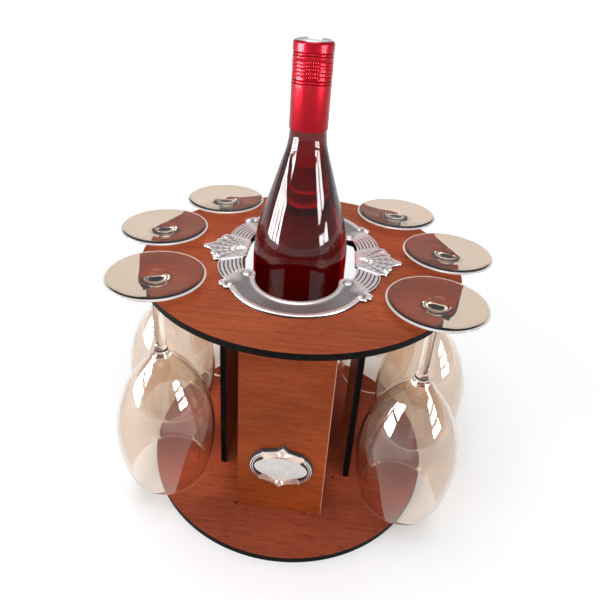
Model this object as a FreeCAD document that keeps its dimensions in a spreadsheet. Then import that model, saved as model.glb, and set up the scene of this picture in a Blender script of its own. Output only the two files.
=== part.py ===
import FreeCAD, Part
import math
import os

import Sketcher

# Tabletop stand of laser-cut boards that holds one wine bottle upright and six
# wine glasses upside down. All sizes are in millimetres. The origin is the centre
# of the underside of the base board, +Z is up, and the front faces -Y.

doc = FreeCAD.newDocument("wine_stand")

# Driving dimensions

SIZES = [
    ("board_radius", 135, "radius of the two round boards"),
    ("board_thickness", 5.5, "thickness of every board and panel"),
    ("panel_height", 207, "clear height between the two round boards"),
    ("end_panel_width", 75.5, "width of the front and back panels"),
    ("end_panel_reach", 89.5, "stand axis to the outer face of the front and back panels"),
    ("side_panel_width", 90, "width of the left and right panels"),
    ("side_panel_reach", 62.3, "stand axis to the outer face of the side panels"),
    ("end_tab_width", 30, "width of the tabs of the front and back panels"),
    ("side_tab_width", 40, "width of the tabs of the side panels"),
    ("tab_gap", 0.1, "clearance between a tab and its slot on each side"),
    ("tab_set_back", 0.3, "how far a tab stops short of the board's far face"),
    ("shelf_level", 92, "height of the upper face of the bottle shelf"),
    ("shelf_width", 75.5, "width of the bottle shelf"),
    ("seat_gap", 0.3, "gap left where a loose piece rests on its seat"),
    ("stem_inset", 9, "edge of the top board to the axis of each stem"),
    ("middle_slot_angle", 97, "angle from the front to the middle stem slot on each side"),
    ("stem_gap", 0.5, "clearance between a stem and the wall of its slot"),
    ("plate_thickness", 2, "thickness of the ornamental plate"),
    ("plate_front_reach", 96, "stand axis to the front of the ornamental plate"),
    ("band_radius", 56, "outer radius of the plate's front and back bands"),
    ("opening_reach", 76.3, "stand axis to the front end of the bottle opening"),
    ("opening_end_radius", 33.3, "radius of the rounded ends of the bottle opening"),
    ("opening_half_width", 47.5, "half the width of the bottle opening at its middle"),
    ("board_opening_gap", 1.6, "how far the board's opening lies outside the plate's"),
    ("tip_reach", 86, "stand axis to the left and right tips of the plate"),
    ("tip_radius", 3, "radius of the round knob at each tip"),
    ("tip_curve", 16, "radius of the hollow curve beside each knob"),
    ("lobe_radius", 3.6, "radius of the round lobes along a capital"),
    ("bead_radius", 2.6, "radius of the beads along the sides of the opening"),
    ("bead_count", 3, "number of beads along half a side of the opening"),
    ("inner_lobe_radius", 7, "radius of the lobe at the inner end of a fluted band"),
    ("shoulder_x", 73, "outer corner of a capital, across"),
    ("shoulder_y", 20.5, "outer corner of a capital, along"),
    ("neck_x", 76.5, "where a capital narrows towards its tip, across"),
    ("neck_y", 9.5, "where a capital narrows towards its tip, along"),
    ("flute_top_outer_x", 67, "outer upper corner of a fluted band, across"),
    ("flute_top_outer_y", 23, "outer upper corner of a fluted band, along"),
    ("flute_top_inner_x", 48.5, "inner upper corner of a fluted band, across"),
    ("flute_top_inner_y", 14.5, "inner upper corner of a fluted band, along"),
    ("flute_foot_outer_x", 55.5, "outer lower corner of a fluted band, across"),
    ("flute_foot_outer_y", 54.5, "outer lower corner of a fluted band, along"),
    ("flute_foot_inner_x", 43.5, "inner lower corner of a fluted band, across"),
    ("flute_foot_inner_y", 36, "inner lower corner of a fluted band, along"),
    ("scroll_radius", 4.2, "radius of the scroll at the outer end of a band"),
    ("second_scroll_radius", 3.4, "radius of the smaller scroll beside it"),
    ("second_scroll_width", 5.6, "width of the smaller scroll"),
    ("flute_curve", 45, "radius along which the fluted bands bend"),
    ("flute_count", 6, "number of grooves in each fluted band"),
    ("flute_width", 1.3, "width of one groove"),
    ("flute_depth", 0.6, "depth of one groove"),
    ("flute_margin", 1.2, "plain edge left at both ends of the grooves"),
    ("badge_centre", 62, "height of the badge's centre above the ground"),
    ("badge_half_width", 27.2, "half the width of the badge"),
    ("badge_corner_x", 19, "badge centre to its corners, across"),
    ("badge_corner_y", 14.5, "badge centre to its corners, up"),
    ("badge_lobe_x", 3.2, "width of the lobe at each corner"),
    ("badge_lobe_y", 2.2, "height of the lobe at each corner"),
    ("badge_lobe_radius", 2.2, "radius of the lobe at each corner"),
    ("badge_crest_x", 4.5, "half the width of the crest at the top and the bottom"),
    ("badge_crest_y", 19.8, "badge centre to the foot of each crest"),
    ("badge_tip", 24.2, "badge centre to its upper and lower points"),
    ("badge_tilt", 3, "angle at which the badge is glued on"),
    ("badge_backing_thickness", 3, "thickness of the badge's dark backing"),
    ("badge_face_thickness", 1, "thickness of the badge's face"),
    ("badge_border", 0.8, "rim of the backing that shows round the face"),
    ("foot_radius", 38, "radius of a glass's foot"),
    ("foot_edge", 1.8, "thickness of a glass's foot at its edge"),
    ("foot_root_radius", 8, "radius where the foot's slope turns up into the stem"),
    ("foot_root_height", 6.2, "height of the foot's slope at that radius"),
    ("stem_foot_height", 9.6, "height of the stem's start above the glass's foot plane"),
    ("stem_radius", 4.6, "radius of a glass's stem"),
    ("bowl_radius", 42.4, "largest outer radius of a bowl"),
    ("bowl_gap", 1.4, "clear gap between neighbouring bowls"),
    ("bowl_level", 155, "foot to the widest level of the bowl"),
    ("bowl_lower_curve", 106.5, "radius of the bowl's outline below its widest level"),
    ("bowl_foot_radius", 10, "bowl radius where the stem's flare ends"),
    ("bowl_flare", 16, "radius of the flare from the stem into the bowl"),
    ("rim_radius", 34, "outer radius of the rim"),
    ("bowl_upper_curve", 157, "radius of the bowl's outline above its widest level"),
    ("glass_wall", 1.3, "wall thickness of a bowl"),
    ("bowl_floor", 77.5, "foot to the inside bottom of the bowl"),
    ("bottle_radius", 40, "outer radius of the bottle's body"),
    ("bottle_shift", -1.5, "how far the bottle stands to the left of the axis"),
    ("bottle_wall", 3.5, "wall thickness of the bottle"),
    ("heel_radius", 5, "rounding round the bottle's base"),
    ("punt_radius", 27, "radius of the hollow under the bottle"),
    ("punt_depth", 16, "depth of the hollow under the bottle"),
    ("body_height", 125, "bottle base to the start of its shoulder"),
    ("shoulder_curve", 130, "radius of the upper body's rounding"),
    ("shoulder_angle", 17.1, "slope of the shoulder from the vertical"),
    ("bottle_neck_radius", 14.6, "outer radius of the bottle's neck"),
    ("neck_curve", 60, "radius of the curve from the shoulder into the neck"),
    ("neck_length", 63.4, "length of the bottle's straight neck"),
    ("wine_gap", 0.2, "gap between the wine and the bottle's wall"),
    ("cap_radius", 15.2, "outer radius of the screw cap"),
    ("cap_gap", 0.15, "gap between the screw cap and the neck"),
    ("cap_foot_gap", 0.9, "straight neck left bare under the cap"),
    ("cap_top_thickness", 0.8, "thickness of the cap's top"),
    ("cap_skirt_height", 35, "height of the cap's part below its seam"),
    ("cap_seam_depth", 0.15, "depth of the seam where the cap breaks open"),
    ("cap_corner", 0.8, "width of the slope round the cap's top"),
]

sheet = doc.addObject("Spreadsheet::Sheet", "sizes")
for row, (alias, value, meaning) in enumerate(SIZES, start=1):
    sheet.set(f"A{row}", meaning)
    sheet.set(f"B{row}", str(value))
    sheet.setAlias(f"B{row}", alias)
doc.recompute()

size = {alias: float(sheet.get(alias)) for alias, value, meaning in SIZES}


def sized(text):
    """Expression text in which every size's name refers to the sheet."""
    words = []
    word = ""
    for letter in text + " ":
        if letter.isalnum() or letter == "_":
            word += letter
            continue
        words.append("sizes." + word if word in size else word)
        words.append(letter)
        word = ""
    return "".join(words).strip()


# Places that several pieces share, as expressions of the sizes

TOP_SURFACE = "2 * board_thickness + panel_height"
TOP_UNDERSIDE = "board_thickness + panel_height"
END_PANEL_INNER = "(end_panel_reach - board_thickness)"
SIDE_PANEL_INNER = "(side_panel_reach - board_thickness)"
STEM_CIRCLE = "(board_radius - stem_inset)"
SLOT_STEP = f"(2 * asin((bowl_radius + bowl_gap / 2) / {STEM_CIRCLE}))"
SLOT_HALF_WIDTH = "(stem_radius + stem_gap)"
SEAT_SHARE = f"((foot_root_radius - {SLOT_HALF_WIDTH}) / (foot_root_radius - stem_radius))"
SEAT_HEIGHT = f"(foot_root_height + (stem_foot_height - foot_root_height) * {SEAT_SHARE})"
HANG_HEIGHT = f"({SEAT_HEIGHT} + seat_gap)"
SHOULDER_TURN = "(shoulder_angle * 1 deg)"
SHOULDER_FALL = f"(1 - cos({SHOULDER_TURN}))"
SLOPE_FOOT = f"(bottle_radius - shoulder_curve * {SHOULDER_FALL})"
SLOPE_TOP = f"(bottle_neck_radius + neck_curve * {SHOULDER_FALL})"
SLOPE_RISE = f"(({SLOPE_FOOT} - {SLOPE_TOP}) / tan({SHOULDER_TURN}))"
CURVES_RISE = f"((shoulder_curve + neck_curve) * sin({SHOULDER_TURN}))"
NECK_START = f"(body_height + {CURVES_RISE} + {SLOPE_RISE})"
BOTTLE_HEIGHT = f"({NECK_START} + neck_length)"
BOTTLE_FOOT = "(shelf_level + seat_gap)"
CAP_HEIGHT = "(neck_length - cap_foot_gap + seat_gap + cap_top_thickness)"

# How many straight steps each turned curve is drawn with

BOWL_STEPS = (3, 2)
SHOULDER_STEPS = (3, 2)
HEEL_STEPS = 2
FLARE_STEPS = 2

# Helpers for sketches and bodies


def between(low, high, share):
    """An expression for a share of the way from one expression to another."""
    return f"({low} + ({high} - {low}) * ({share}))"


def new_body(name):
    """A body whose label names its file."""
    body = doc.addObject("PartDesign::Body", name)
    body.Label = name
    return body


def origin_plane(body, role):
    """One of the body's own origin planes."""
    return next(item for item in body.Origin.OriginFeatures if item.Role == role)


def new_sketch(body, name, role):
    """A sketch on one of the body's origin planes."""
    sketch = body.newObject("Sketcher::SketchObject", name)
    sketch.AttachmentSupport = [(origin_plane(body, role), "")]
    sketch.MapMode = "FlatFace"
    return sketch


def number(sketch, text):
    """The present value of an expression of the sizes."""
    return float(sketch.evalExpression(sized(text)))


def bind(item, prop, text):
    """Ties a property to an expression of the sizes."""
    item.setExpression(prop, sized(text))


def pin(sketch, edge, end, across, along):
    """Fixes one end of an edge at a place given by two expressions."""
    for kind, text in (("DistanceX", across), ("DistanceY", along)):
        value = number(sketch, text)
        index = sketch.addConstraint(Sketcher.Constraint(kind, -1, 1, edge, end, value))
        bind(sketch, f"Constraints[{index}]", text)


def arc_between(start, finish, radius, bulge_left):
    """A circular arc from start to finish, and whether it runs clockwise."""
    chord = finish - start
    half = chord.Length / 2
    reach = math.sqrt(max(radius ** 2 - half ** 2, 0.0))
    left = FreeCAD.Vector(-chord.y, chord.x, 0).normalize()
    side = -1 if bulge_left else 1
    centre = (start + finish) * 0.5 + left * (side * reach)
    circle = Part.Circle(centre, FreeCAD.Vector(0, 0, 1), radius)
    angle_start = math.atan2(start.y - centre.y, start.x - centre.x)
    angle_finish = math.atan2(finish.y - centre.y, finish.x - centre.x)
    clockwise = bulge_left
    if clockwise:
        return Part.ArcOfCircle(circle, angle_finish, angle_start), True
    return Part.ArcOfCircle(circle, angle_start, angle_finish), False


def outline(sketch, corners):
    """A closed outline with every corner pinned to expressions of the sizes.

    A corner is (across, along), or (across, along, radius, side) where an arc of
    that radius, bulging to that side of the way ahead, leads to the next corner.
    """
    count = len(corners)
    places = [
        FreeCAD.Vector(number(sketch, corner[0]), number(sketch, corner[1]), 0)
        for corner in corners
    ]
    ends = []
    for index, corner in enumerate(corners):
        start = places[index]
        finish = places[(index + 1) % count]
        if len(corner) == 2:
            edge = sketch.addGeometry(Part.LineSegment(start, finish), False)
            ends.append((edge, 1, 2))
            continue
        radius = number(sketch, corner[2])
        arc, clockwise = arc_between(start, finish, radius, corner[3] == "left")
        edge = sketch.addGeometry(arc, False)
        ends.append((edge, 2, 1) if clockwise else (edge, 1, 2))
    for index in range(count):
        edge, _, last = ends[index]
        following, first, _ = ends[(index + 1) % count]
        sketch.addConstraint(Sketcher.Constraint("Coincident", edge, last, following, first))
    for index, corner in enumerate(corners):
        edge, first, _ = ends[index]
        pin(sketch, edge, first, corner[0], corner[1])
        if len(corner) > 2:
            radius = Sketcher.Constraint("Radius", edge, number(sketch, corner[2]))
            place = sketch.addConstraint(radius)
            bind(sketch, f"Constraints[{place}]", corner[2])


def arc_points(centre, radius, first_angle, last_angle, steps):
    """Corners along an arc, both ends included, as expressions of the sizes."""
    points = []
    for step in range(steps + 1):
        angle = between(first_angle, last_angle, f"{step} / {steps}")
        across = f"({centre[0]} + {radius} * cos({angle}))"
        along = f"({centre[1]} + {radius} * sin({angle}))"
        points.append((across, along))
    return points


def full_circle(sketch, across, along, radius):
    """A circle pinned at its centre."""
    centre = FreeCAD.Vector(number(sketch, across), number(sketch, along), 0)
    circle = Part.Circle(centre, FreeCAD.Vector(0, 0, 1), number(sketch, radius))
    edge = sketch.addGeometry(circle, False)
    pin(sketch, edge, 3, across, along)
    place = sketch.addConstraint(Sketcher.Constraint("Radius", edge, number(sketch, radius)))
    bind(sketch, f"Constraints[{place}]", radius)


def rectangle(sketch, low_x, high_x, low_y, high_y):
    """A rectangle between four expressions."""
    outline(sketch, [(low_x, low_y), (high_x, low_y), (high_x, high_y), (low_x, high_y)])


def pad(body, name, sketch, length):
    """Thickens a sketch upwards from its plane."""
    feature = body.newObject("PartDesign::Pad", name)
    feature.Profile = sketch
    bind(feature, "Length", length)
    doc.recompute()
    return feature


def pocket(body, name, sketch, length, reverse):
    """Cuts a sketch out of the body and checks that it removed something."""
    before = body.Tip.Shape.Volume
    feature = body.newObject("PartDesign::Pocket", name)
    feature.Profile = sketch
    feature.Reversed = reverse
    bind(feature, "Length", length)
    doc.recompute()
    if feature.Shape.Volume >= before:
        raise RuntimeError(f"{name} cuts nothing")
    return feature


def revolve(body, name, sketch):
    """Turns a sketch once round its vertical axis."""
    feature = body.newObject("PartDesign::Revolution", name)
    feature.Profile = sketch
    feature.ReferenceAxis = (sketch, ["V_Axis"])
    feature.Angle = 360
    doc.recompute()
    return feature


def mirror(body, name, role):
    """Adds the body's mirror image across one of its origin planes."""
    feature = body.newObject("PartDesign::Mirrored", name)
    feature.TransformMode = "Whole shape"
    feature.MirrorPlane = (origin_plane(body, role), [""])
    body.Tip = feature
    doc.recompute()
    return feature


def place(body, across="0", along="0", up="0"):
    """Ties the body's place to expressions of the sizes."""
    bind(body, "Placement.Base.x", across)
    bind(body, "Placement.Base.y", along)
    bind(body, "Placement.Base.z", up)


# The two round boards


def opening_outline(grow):
    """The outline of the bottle opening, grown outwards, anticlockwise."""
    half_width = f"(opening_half_width + {grow})"
    foot_x = f"(flute_foot_inner_x + {grow})"
    end_radius = f"(opening_end_radius + {grow})"
    end_y = "(opening_reach - opening_end_radius)"
    end_arc = (end_radius, "right")
    return [
        (half_width, "-flute_top_inner_y"),
        (half_width, "flute_top_inner_y"),
        (foot_x, "flute_foot_inner_y"),
        (end_radius, end_y) + end_arc,
        ("0", f"opening_reach + {grow}") + end_arc,
        (f"-{end_radius}", end_y),
        (f"-{foot_x}", "flute_foot_inner_y"),
        (f"-{half_width}", "flute_top_inner_y"),
        (f"-{half_width}", "-flute_top_inner_y"),
        (f"-{foot_x}", "-flute_foot_inner_y"),
        (f"-{end_radius}", f"-{end_y}") + end_arc,
        ("0", f"-(opening_reach + {grow})") + end_arc,
        (end_radius, f"-{end_y}"),
        (foot_x, "-flute_foot_inner_y"),
    ]


def cut_tab_slots(body, reverse):
    """Slots for the tabs of the four panels."""
    sketch = new_sketch(body, body.Name + "_tab_slots", "XY_Plane")
    half_end = "(end_tab_width / 2 + tab_gap)"
    half_side = "(side_tab_width / 2 + tab_gap)"
    for sign in ("-1", "1"):
        near = f"{sign} * ({END_PANEL_INNER} - tab_gap)"
        far = f"{sign} * (end_panel_reach + tab_gap)"
        rectangle(sketch, f"-{half_end}", half_end, near, far)
        near = f"{sign} * ({SIDE_PANEL_INNER} - tab_gap)"
        far = f"{sign} * (side_panel_reach + tab_gap)"
        rectangle(sketch, near, far, f"-{half_side}", half_side)
    pocket(body, body.Name + "_tab_cut", sketch, "board_thickness", reverse)


def make_base_board():
    body = new_body("base_board")
    disc = new_sketch(body, "base_disc", "XY_Plane")
    full_circle(disc, "0", "0", "board_radius")
    pad(body, "base_pad", disc, "board_thickness")
    cut_tab_slots(body, True)
    return body


def slot_angles():
    """The angle of each stem slot from the front, on the right and on the left."""
    angles = []
    for position in range(3):
        angle = f"(middle_slot_angle * 1 deg + {position - 1} * {SLOT_STEP})"
        angles.append(("right", angle))
        angles.append(("left", f"-{angle}"))
    return angles


def turned(angle, outward, sideways):
    """A place given outwards along a slot and sideways from it."""
    across = f"({outward}) * sin({angle}) + ({sideways}) * cos({angle})"
    along = f"-({outward}) * cos({angle}) + ({sideways}) * sin({angle})"
    return across, along


def make_top_board():
    body = new_body("top_board")
    disc = new_sketch(body, "top_disc", "XY_Plane")
    full_circle(disc, "0", "0", "board_radius")
    pad(body, "top_pad", disc, "board_thickness")
    opening = new_sketch(body, "bottle_opening", "XY_Plane")
    outline(opening, opening_outline("board_opening_gap"))
    pocket(body, "opening_cut", opening, "board_thickness", True)
    slots = new_sketch(body, "stem_slots", "XY_Plane")
    beyond = "board_radius + stem_radius"
    end_arc = (SLOT_HALF_WIDTH, "right")
    for side, angle in slot_angles():
        outline(slots, [
            turned(angle, beyond, f"-{SLOT_HALF_WIDTH}"),
            turned(angle, beyond, SLOT_HALF_WIDTH),
            turned(angle, STEM_CIRCLE, SLOT_HALF_WIDTH) + end_arc,
            turned(angle, f"{STEM_CIRCLE} - {SLOT_HALF_WIDTH}", "0") + end_arc,
            turned(angle, STEM_CIRCLE, f"-{SLOT_HALF_WIDTH}"),
        ])
    pocket(body, "slot_cut", slots, "board_thickness", True)
    cut_tab_slots(body, True)
    place(body, up=TOP_UNDERSIDE)
    return body


# The four upright panels, each with a tab at the top and at the bottom


def make_panel(name, width, tab_width, role):
    body = new_body(name)
    sketch = new_sketch(body, name + "_outline", role)
    half = f"({width} / 2)"
    tab = f"({tab_width} / 2)"
    low = "tab_set_back"
    floor = "board_thickness"
    ceiling = TOP_UNDERSIDE
    high = f"({TOP_SURFACE} - tab_set_back)"
    outline(sketch, [
        (f"-{tab}", low), (tab, low), (tab, floor), (half, floor),
        (half, ceiling), (tab, ceiling), (tab, high), (f"-{tab}", high),
        (f"-{tab}", ceiling), (f"-{half}", ceiling), (f"-{half}", floor), (f"-{tab}", floor),
    ])
    feature = pad(body, name + "_pad", sketch, "board_thickness")
    feature.Midplane = True
    doc.recompute()
    return body


def make_panels():
    middle_y = "(end_panel_reach - board_thickness / 2)"
    middle_x = "(side_panel_reach - board_thickness / 2)"
    for name, sign in (("front_panel", "-"), ("back_panel", "")):
        body = make_panel(name, "end_panel_width", "end_tab_width", "XZ_Plane")
        place(body, along=sign + middle_y)
    for name, sign in (("left_panel", "-"), ("right_panel", "")):
        body = make_panel(name, "side_panel_width", "side_tab_width", "YZ_Plane")
        place(body, across=sign + middle_x)


def make_shelf():
    """The board between the front and back panels that the bottle stands on."""
    shelf = doc.addObject("Part::Box", "bottle_shelf")
    shelf.Label = "bottle_shelf"
    bind(shelf, "Length", "shelf_width")
    bind(shelf, "Width", f"2 * {END_PANEL_INNER}")
    bind(shelf, "Height", "board_thickness")
    place(shelf, "-shelf_width / 2", f"-{END_PANEL_INNER}", "shelf_level - board_thickness")


# The ornamental plate round the bottle opening


def plate_quarter():
    """The right rear quarter of the plate's outline, anticlockwise."""
    end_y = "(opening_reach - opening_end_radius)"
    band_centre = "(plate_front_reach - band_radius)"
    scroll_x = "(flute_foot_outer_x - second_scroll_width)"
    band_end_y = f"({band_centre} + sqrt(band_radius ^ 2 - {scroll_x} ^ 2))"
    scroll = ("scroll_radius", "right")
    lobe = ("lobe_radius", "right")
    corners = [
        ("opening_half_width", "0"),
        ("tip_reach", "0", "tip_radius", "right"),
        ("tip_reach - tip_radius", "tip_radius", "tip_curve", "left"),
        ("neck_x", "neck_y") + lobe,
        ("shoulder_x", "(shoulder_y + neck_y) / 2") + lobe,
        ("shoulder_x", "shoulder_y") + lobe,
        ("flute_top_outer_x", "flute_top_outer_y", "flute_curve", "right"),
        ("flute_foot_outer_x", "flute_foot_outer_y") + scroll,
        ("flute_foot_outer_x + scroll_radius", "flute_foot_outer_y + scroll_radius") + scroll,
        (
            "flute_foot_outer_x", "flute_foot_outer_y + 2 * scroll_radius",
            "second_scroll_radius", "right",
        ),
        (scroll_x, band_end_y, "band_radius", "right"),
        ("0", "plate_front_reach"),
        ("0", "opening_reach", "opening_end_radius", "left"),
        ("opening_end_radius", end_y, "inner_lobe_radius", "right"),
        ("flute_foot_inner_x", "flute_foot_inner_y", "flute_curve", "left"),
    ]
    count = int(size["bead_count"])
    for index in range(count):
        level = between("flute_top_inner_y", "0", f"{index} / {count}")
        corners.append(("opening_half_width", level, "bead_radius", "right"))
    return corners


def flute_corners(index):
    """One groove of the fluted band, from the capital down to the scroll."""
    top = ("flute_top_inner_x", "flute_top_inner_y", "flute_top_outer_x", "flute_top_outer_y")
    foot = ("flute_foot_inner_x", "flute_foot_inner_y", "flute_foot_outer_x", "flute_foot_outer_y")
    share = f"(2 * {index} + 1) / (2 * flute_count)"
    sides = []
    for x_low, y_low, x_high, y_high in (top, foot):
        sides.append((between(x_low, x_high, share), between(y_low, y_high, share)))
    (top_x, top_y), (foot_x, foot_y) = sides
    half = "flute_width / 2"
    return [
        (f"{top_x} - {half}", f"{top_y} + flute_margin"),
        (f"{top_x} + {half}", f"{top_y} + flute_margin", "flute_curve", "right"),
        (f"{foot_x} + {half}", f"{foot_y} - flute_margin"),
        (f"{foot_x} - {half}", f"{foot_y} - flute_margin", "flute_curve", "left"),
    ]


def make_plate():
    body = new_body("ornamental_plate")
    sketch = new_sketch(body, "plate_quarter", "XY_Plane")
    outline(sketch, plate_quarter())
    pad(body, "plate_pad", sketch, "plate_thickness")
    flutes = new_sketch(body, "plate_flutes", "XY_Plane")
    bind(flutes, "AttachmentOffset.Base.z", "plate_thickness")
    for index in range(int(size["flute_count"])):
        outline(flutes, flute_corners(index))
    pocket(body, "flute_cut", flutes, "flute_depth", False)
    mirror(body, "plate_left", "YZ_Plane")
    mirror(body, "plate_front", "XZ_Plane")
    place(body, up=TOP_SURFACE)
    return body


# The badge glued to the front panel


def badge_outline(inset):
    """The badge as a viewer sees it from the front, anticlockwise."""
    corner_x = f"(badge_corner_x - {inset})"
    corner_y = f"(badge_corner_y - {inset})"
    bulge = "(badge_half_width - badge_corner_x)"
    end_radius = f"(({corner_y} ^ 2 + {bulge} ^ 2) / (2 * {bulge}))"
    lobe_x = f"({corner_x} - badge_lobe_x)"
    lobe_y = f"({corner_y} + badge_lobe_y)"
    crest_y = f"(badge_crest_y - {inset})"
    tip = f"(badge_tip - {inset})"
    end_arc = (end_radius, "right")
    lobe = ("badge_lobe_radius", "right")
    return [
        (corner_x, f"-{corner_y}") + end_arc,
        (corner_x, corner_y) + lobe,
        (lobe_x, lobe_y),
        ("badge_crest_x", crest_y),
        ("0", tip),
        ("-badge_crest_x", crest_y),
        (f"-{lobe_x}", lobe_y) + lobe,
        (f"-{corner_x}", corner_y) + end_arc,
        (f"-{corner_x}", f"-{corner_y}") + lobe,
        (f"-{lobe_x}", f"-{lobe_y}"),
        ("-badge_crest_x", f"-{crest_y}"),
        ("0", f"-{tip}"),
        ("badge_crest_x", f"-{crest_y}"),
        (lobe_x, f"-{lobe_y}") + lobe,
    ]


def make_badge_piece(name, inset, thickness, stand_off):
    body = new_body(name)
    sketch = new_sketch(body, name + "_outline", "XZ_Plane")
    outline(sketch, badge_outline(inset))
    pad(body, name + "_pad", sketch, thickness)
    body.Placement = FreeCAD.Placement(
        FreeCAD.Vector(0, 0, 0), FreeCAD.Rotation(FreeCAD.Vector(0, 1, 0), size["badge_tilt"])
    )
    bind(body, "Placement.Rotation.Angle", "badge_tilt")
    place(body, along=f"-(end_panel_reach + {stand_off})", up="badge_centre")
    return body


def make_badge():
    make_badge_piece("badge_backing", "0", "badge_backing_thickness", "0")
    make_badge_piece(
        "badge_face", "badge_border", "badge_face_thickness", "badge_backing_thickness"
    )


# The six wine glasses, which hang by their feet


def bowl_points(wall):
    """The bowl's side from its foot up to its rim, moved inwards by the wall."""
    lower_steps, upper_steps = BOWL_STEPS
    lower_middle = "(bowl_radius - bowl_lower_curve)"
    foot_angle = f"(-acos((bowl_foot_radius - {lower_middle}) / bowl_lower_curve))"
    lower = arc_points(
        (lower_middle, "bowl_level"), f"(bowl_lower_curve - {wall})",
        foot_angle, "0 deg", lower_steps,
    )
    upper_middle = "(bowl_radius - bowl_upper_curve)"
    rim_angle = "acos(1 - (bowl_radius - rim_radius) / bowl_upper_curve)"
    upper = arc_points(
        (upper_middle, "bowl_level"), f"(bowl_upper_curve - {wall})",
        "0 deg", rim_angle, upper_steps,
    )
    return lower + upper[1:]


def glass_outline():
    """Half the section of a glass standing on its foot."""
    outer = bowl_points("0")
    inner = bowl_points("glass_wall")
    flare_start = (
        f"({outer[0][1]} - sqrt(bowl_flare ^ 2"
        " - (bowl_flare - bowl_foot_radius + stem_radius) ^ 2))"
    )
    flare_centre = ("(stem_radius + bowl_flare)", flare_start)
    flare_turn = "(180 deg - acos(1 - (bowl_foot_radius - stem_radius) / bowl_flare))"
    flare = arc_points(flare_centre, "bowl_flare", "180 deg", flare_turn, FLARE_STEPS)
    corners = [
        ("0", "0"),
        ("foot_radius", "0"),
        ("foot_radius", "foot_edge"),
        ("foot_root_radius", "foot_root_height"),
        ("stem_radius", "stem_foot_height"),
    ]
    corners += flare[:-1]
    corners += outer
    corners += reversed(inner)
    corners.append(("0", "bowl_floor"))
    return corners


def make_glass(name, angle):
    body = new_body(name)
    sketch = new_sketch(body, name + "_section", "XZ_Plane")
    outline(sketch, glass_outline())
    revolve(body, name + "_turned", sketch)
    upside_down = FreeCAD.Rotation(FreeCAD.Vector(1, 0, 0), 180)
    body.Placement = FreeCAD.Placement(FreeCAD.Vector(0, 0, 0), upside_down)
    across, along = turned(angle, STEM_CIRCLE, "0")
    place(body, across, along, f"{TOP_SURFACE} + {HANG_HEIGHT}")
    return body


def make_glasses():
    for index, (side, angle) in enumerate(slot_angles()):
        position = ("front", "middle", "back")[index // 2]
        make_glass(f"glass_{side}_{position}", angle)


# The bottle, its wine and its screw cap


def bottle_side(inset):
    """The bottle's side from the body up to the neck, moved inwards."""
    shoulder_steps, neck_steps = SHOULDER_STEPS
    shoulder = arc_points(
        ("(bottle_radius - shoulder_curve)", "body_height"),
        f"(shoulder_curve - {inset})",
        "0 deg", SHOULDER_TURN, shoulder_steps,
    )
    neck = arc_points(
        ("(bottle_neck_radius + neck_curve)", NECK_START),
        f"(neck_curve + {inset})",
        f"(180 deg + {SHOULDER_TURN})", "180 deg", neck_steps,
    )
    return shoulder + neck


def make_bottle():
    body = new_body("bottle")
    sketch = new_sketch(body, "bottle_section", "XZ_Plane")
    heel = arc_points(
        ("(bottle_radius - heel_radius)", "heel_radius"),
        "heel_radius", "-90 deg", "0 deg", HEEL_STEPS,
    )
    corners = [("0", "punt_depth"), ("punt_radius", "0")]
    corners += heel + bottle_side("0")
    corners += [
        ("bottle_neck_radius", BOTTLE_HEIGHT),
        ("bottle_neck_radius - bottle_wall", BOTTLE_HEIGHT),
    ]
    corners += reversed(bottle_side("bottle_wall"))
    corners += [
        ("bottle_radius - bottle_wall", "heel_radius + bottle_wall"),
        ("punt_radius", "bottle_wall"),
        ("0", "punt_depth + bottle_wall"),
    ]
    outline(sketch, corners)
    revolve(body, "bottle_turned", sketch)
    place(body, "bottle_shift", "0", BOTTLE_FOOT)
    return body


def make_wine():
    body = new_body("wine")
    sketch = new_sketch(body, "wine_section", "XZ_Plane")
    inset = "(bottle_wall + wine_gap)"
    corners = [
        ("0", f"punt_depth + {inset}"),
        ("punt_radius", inset),
        (f"bottle_radius - {inset}", f"heel_radius + {inset}"),
    ]
    corners += bottle_side(inset)
    corners.append(("0", NECK_START))
    outline(sketch, corners)
    revolve(body, "wine_turned", sketch)
    place(body, "bottle_shift", "0", BOTTLE_FOOT)
    return body


def make_cap():
    body = new_body("screw_cap")
    sketch = new_sketch(body, "cap_section", "XZ_Plane")
    inner = "(bottle_neck_radius + cap_gap)"
    corners = [
        (inner, "0"),
        ("cap_radius", "0"),
        ("cap_radius", "cap_skirt_height"),
        ("cap_radius - cap_seam_depth", "cap_skirt_height + cap_seam_depth"),
        ("cap_radius", "cap_skirt_height + 2 * cap_seam_depth"),
        ("cap_radius", f"{CAP_HEIGHT} - cap_corner"),
        ("cap_radius - cap_corner", CAP_HEIGHT),
        ("0", CAP_HEIGHT),
        ("0", f"{CAP_HEIGHT} - cap_top_thickness"),
        (inner, f"{CAP_HEIGHT} - cap_top_thickness"),
    ]
    outline(sketch, corners)
    revolve(body, "cap_turned", sketch)
    place(body, "bottle_shift", "0", f"{BOTTLE_FOOT} + {NECK_START} + cap_foot_gap")
    return body


make_base_board()
make_top_board()
make_panels()
make_shelf()
make_plate()
make_badge()
make_glasses()
make_bottle()
make_wine()
make_cap()
doc.recompute()

# Every object must have solved, and every piece must be one sound solid

for item in doc.Objects:
    if "Invalid" in item.State or "Error" in item.State:
        raise RuntimeError(f"{item.Label} failed: {item.State}")

pieces = [
    item for item in doc.Objects if item.TypeId in ("PartDesign::Body", "Part::Box")
]
os.makedirs("parts", exist_ok=True)
for piece in pieces:
    shape = piece.Shape
    if shape.isNull() or not shape.isValid() or len(shape.Solids) != 1:
        raise RuntimeError(f"{piece.Label} is not one sound solid")
    shape.exportStep(f"parts/{piece.Label}.step")
    box = shape.BoundBox
    print(f"{piece.Label}: {shape.Volume:.0f} mm3, z {box.ZMin:.1f} to {box.ZMax:.1f}")
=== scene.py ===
import math

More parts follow.
